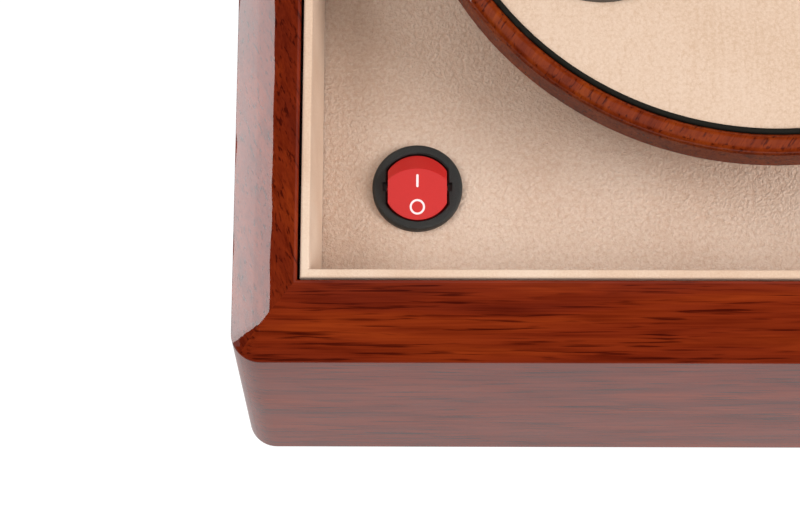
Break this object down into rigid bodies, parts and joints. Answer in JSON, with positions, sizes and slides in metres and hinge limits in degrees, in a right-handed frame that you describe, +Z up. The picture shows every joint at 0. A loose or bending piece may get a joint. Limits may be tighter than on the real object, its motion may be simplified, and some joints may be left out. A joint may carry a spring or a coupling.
{
  "type": "watch winder box",
  "caption": "Glossy wooden case with a glazed hinged lid and a beige suede deck, whose motor-driven turntable turns watches held on lift-out cushions.",
  "frame": {"origin": "middle of the felt underside, on the surface the box stands on", "axes": "+X to the right, +Y to the back where the lid is hinged, +Z up"},
  "size_m": [0.2676, 0.3399, 0.3774],
  "materials": {
    "lacquered_wood": "high-gloss red-brown lacquer over straight-grained veneer",
    "velvet": "beige velvet",
    "suede": "beige microfibre suede",
    "collar_grey": "satin dark grey",
    "piping": "matt black",
    "bare_board": "raw fibreboard",
    "felt": "black felt",
    "switch_black": "spark-textured black",
    "switch_red": "satin red",
    "steel": "zinc plated",
    "brass": "polished",
    "gear_plastic": "natural acetal",
    "circuit": "green circuit board",
    "wire": "black insulation",
    "glass": "clear",
    "bumper": "translucent"
  },
  "bodies": {
    "case": {"base_board": "bare_board", "base_felt": "felt", "base_wall_back": "lacquered_wood", "base_wall_front": "lacquered_wood", "base_wall_left": "lacquered_wood", "base_wall_right": "lacquered_wood", "board_posts": "steel", "deck_bearer_left": "bare_board", "deck_bearer_right": "bare_board", "deck_panel": "suede", "drive_plate": "steel", "driver_board": "circuit", "hinge_base_leaves": "brass", "hinge_base_screws": "brass", "hinge_pins": "brass", "inlet_nut": "switch_black", "inlet_wire": "wire", "lining_back": "velvet", "lining_front": "velvet", "lining_left": "velvet", "lining_right": "velvet", "motor_can": "steel", "motor_gearbox": "steel", "motor_wire": "wire", "plate_posts": "steel", "plate_screws": "steel", "power_inlet": "switch_black", "shaft_bush": "brass", "switch_body": "switch_black", "switch_terminals": "brass", "switch_wire": "wire", "thrust_washer": "steel"},
    "lid": {"hinge_lid_leaves": "brass", "hinge_lid_screws": "brass", "lid_bumpers": "bumper", "lid_glass": "glass", "lid_lining_back": "velvet", "lid_lining_front": "velvet", "lid_lining_left": "velvet", "lid_lining_right": "velvet", "lid_rail_back": "lacquered_wood", "lid_rail_front": "lacquered_wood", "lid_rail_left": "lacquered_wood", "lid_rail_right": "lacquered_wood"},
    "turntable": {"turntable_disc": "suede", "turntable_ring": "lacquered_wood", "ring_piping": "piping", "well_cup_left": "collar_grey", "well_cup_right": "collar_grey", "well_collar_left": "collar_grey", "well_collar_right": "collar_grey", "turntable_hub": "gear_plastic", "hub_screws": "steel", "turntable_shaft": "steel", "turntable_gear": "gear_plastic", "shaft_clip": "steel"},
    "motor_pinion": {"motor_pinion": "gear_plastic"},
    "switch_rocker": {"switch_rocker": "switch_red"},
    "cushion_left": {"watch_cushion_left": "suede"},
    "cushion_right": {"watch_cushion_right": "suede"}
  },
  "joints": [
    {"name": "lid_hinge", "type": "hinge", "parent": "case", "child": "lid", "pos_m": [0, 0.1388, 0.1028], "axis": [1, 0, 0], "range_deg": [0, 90]},
    {"name": "turntable_spin", "type": "hinge", "parent": "case", "child": "turntable", "pos_m": [0, 0, 0.0775], "axis": [0, 0, 1], "continuous": true},
    {"name": "pinion_spin", "type": "hinge", "parent": "case", "child": "motor_pinion", "pos_m": [0.04, 0, 0.0655], "axis": [0, 0, 1], "continuous": true},
    {"name": "rocker_tilt", "type": "hinge", "parent": "case", "child": "switch_rocker", "pos_m": [-0.0877, -0.0869, 0.0773], "axis": [1, 0, 0], "range_deg": [-15, 0]},
    {"name": "cushion_lift_left", "type": "slide", "parent": "turntable", "child": "cushion_left", "axis": [0, 0, 1], "range_m": [0, 0.032]},
    {"name": "cushion_lift_right", "type": "slide", "parent": "turntable", "child": "cushion_right", "axis": [0, 0, 1], "range_m": [0, 0.032]}
  ],
  "couplings": [
    {"joint": "pinion_spin", "follows": "turntable_spin", "ratio": -4}
  ]
}
